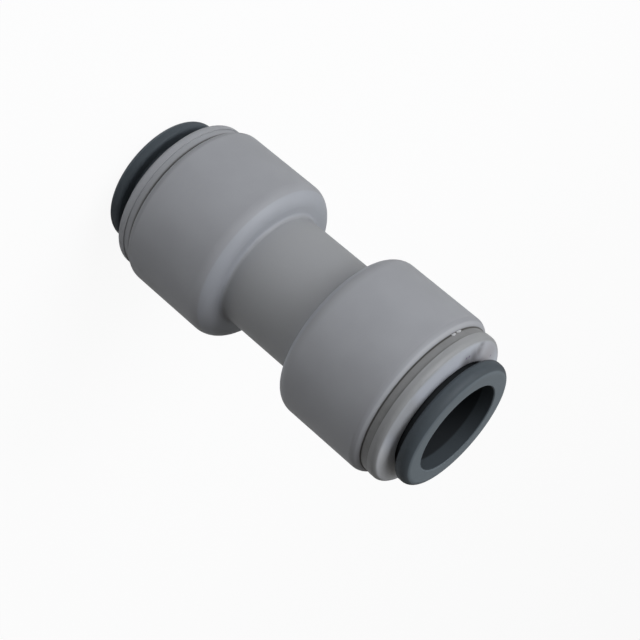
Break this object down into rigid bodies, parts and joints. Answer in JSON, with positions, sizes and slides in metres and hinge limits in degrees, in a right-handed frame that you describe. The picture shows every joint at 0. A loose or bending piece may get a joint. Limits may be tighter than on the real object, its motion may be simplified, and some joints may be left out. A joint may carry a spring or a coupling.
{
  "type": "straight push-in tube connector",
  "caption": "Straight push-in connector for two plastic tubes of equal size: one-piece body with a slim neck, ringed end caps and slotted collets.",
  "frame": {"origin": "centre of the lower collet's flat face, on which the connector stands", "axes": "+Z along the tube axis, up through the upper tube port; X and Y are across it, and the first finger slot of each collet lies towards 60 degrees from +X"},
  "size_m": [0.015, 0.015, 0.034],
  "materials": {
    "body_plastic": "satin light grey acetal",
    "cap_plastic": "satin light grey acetal, a little lighter than the body",
    "collet_plastic": "satin dark blue-grey acetal",
    "seal_rubber": "smooth black nitrile rubber",
    "tooth_steel": "bright stainless spring strip"
  },
  "bodies": {
    "fitting": {"body": "body_plastic", "end_cap_upper": "cap_plastic", "end_cap_lower": "cap_plastic", "o_ring_upper": "seal_rubber", "o_ring_lower": "seal_rubber"},
    "upper_collet": {"collet_upper": "collet_plastic", "tooth_upper_1": "tooth_steel", "tooth_upper_2": "tooth_steel", "tooth_upper_3": "tooth_steel", "tooth_upper_4": "tooth_steel", "tooth_upper_5": "tooth_steel", "tooth_upper_6": "tooth_steel"},
    "lower_collet": {"collet_lower": "collet_plastic", "tooth_lower_1": "tooth_steel", "tooth_lower_2": "tooth_steel", "tooth_lower_3": "tooth_steel", "tooth_lower_4": "tooth_steel", "tooth_lower_5": "tooth_steel", "tooth_lower_6": "tooth_steel"}
  },
  "joints": [
    {"name": "upper_release", "type": "slide", "parent": "fitting", "child": "upper_collet", "axis": [0, 0, -1], "range_m": [-0.00039, 0.00048]},
    {"name": "lower_release", "type": "slide", "parent": "fitting", "child": "lower_collet", "axis": [0, 0, 1], "range_m": [0, 0.00087]}
  ]
}
